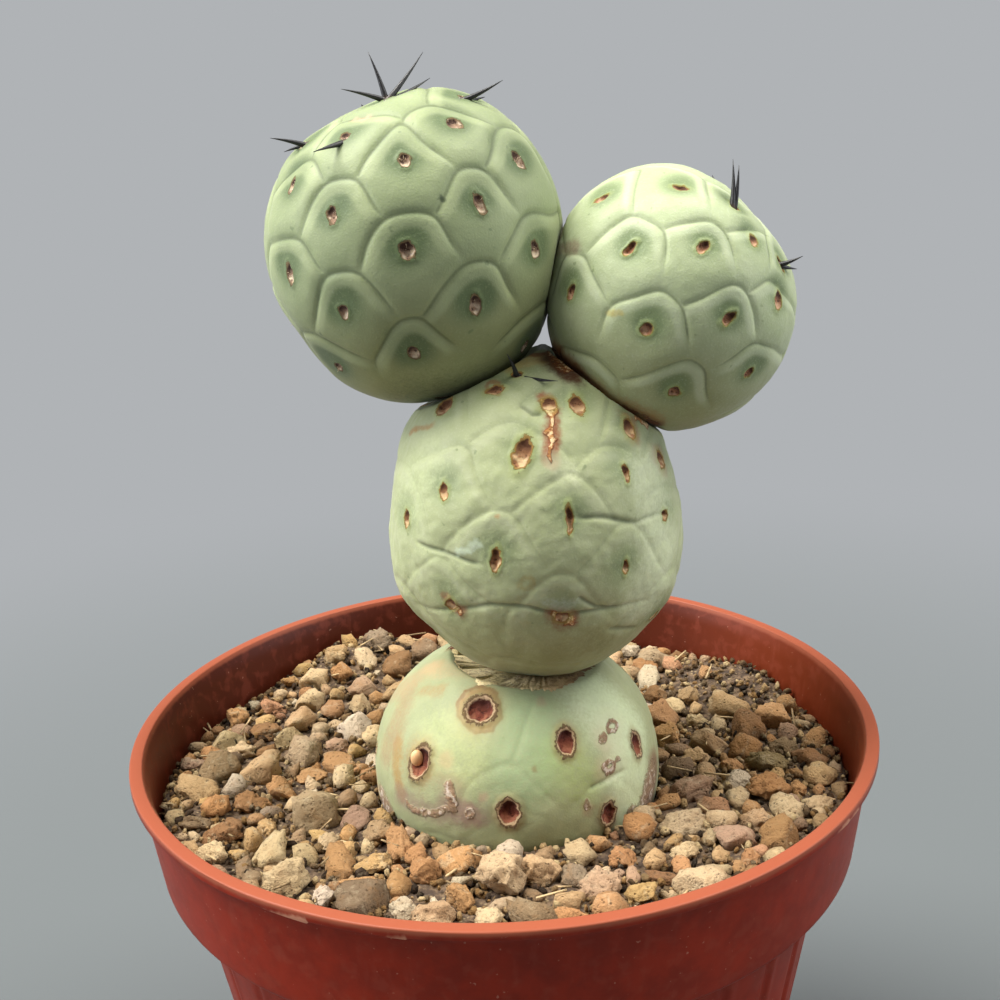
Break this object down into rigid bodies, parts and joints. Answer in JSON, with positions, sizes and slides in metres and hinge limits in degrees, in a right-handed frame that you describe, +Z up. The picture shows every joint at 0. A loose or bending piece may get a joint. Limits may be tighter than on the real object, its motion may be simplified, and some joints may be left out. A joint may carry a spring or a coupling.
{
  "type": "potted cactus",
  "caption": "Jointed ball-segmented geometric cactus with tubercles and short dark spines, standing in gravel in a round tapered plastic nursery pot.",
  "frame": {"origin": "centre of the pot's base, on the surface it stands on", "axes": "+Z up along the pot's axis; -Y towards the front of the plant; +X to the right as seen from the front"},
  "size_m": [0.12, 0.12, 0.1973],
  "materials": {
    "terracotta_plastic": "moulded terracotta-red polypropylene, semi-matt, with dried water marks",
    "potting_mix": "coarse dark mineral potting soil, matt",
    "pumice_gravel": "ochre and cream pumice chips, matt, dusty",
    "old_cactus_skin": "pale waxy bloom over old green skin with corky scars; leather stands in for plant skin",
    "cactus_skin": "grey-green waxy skin, satin; leather stands in for plant skin"
  },
  "bodies": {
    "root": {"pot": "terracotta_plastic", "potting_mix": "potting_mix", "gravel": "pumice_gravel", "stem_segment_base": "old_cactus_skin", "stem_segment_middle": "cactus_skin", "stem_segment_upper_left": "cactus_skin", "stem_segment_upper_right": "cactus_skin"}
  },
  "joints": []
}
